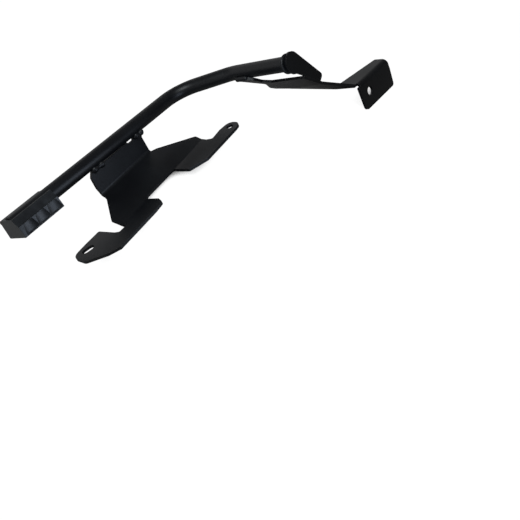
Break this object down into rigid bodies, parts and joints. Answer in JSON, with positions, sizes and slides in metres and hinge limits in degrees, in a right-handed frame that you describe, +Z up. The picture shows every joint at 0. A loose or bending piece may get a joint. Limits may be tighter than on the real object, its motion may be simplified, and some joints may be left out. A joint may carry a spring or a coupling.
{
  "type": "pannier frame",
  "caption": "Bent steel tube with a folded mid bracket, a folded upper bracket and a clip-on end block, holding a pannier beside a motorcycle's rear.",
  "frame": {"origin": "bottom centre of the bounding box, on the floor that the frame lies on", "axes": "+Z up from the floor, +X along the longest side from the end block towards the upper tab"},
  "size_m": [0.5307, 0.3886, 0.141],
  "materials": {
    "powder_coat": "satin",
    "coated_weld": "satin",
    "block_rubber": "matte"
  },
  "bodies": {
    "root": {"main_tube": "powder_coat", "end_block": "block_rubber", "mid_bracket": "powder_coat", "upper_bracket": "powder_coat", "end_plate": "powder_coat", "weld_plate_ring": "coated_weld", "weld_plate_foot": "coated_weld", "weld_strip": "coated_weld", "weld_flange_rear": "coated_weld", "weld_flange_front": "coated_weld"}
  },
  "joints": []
}
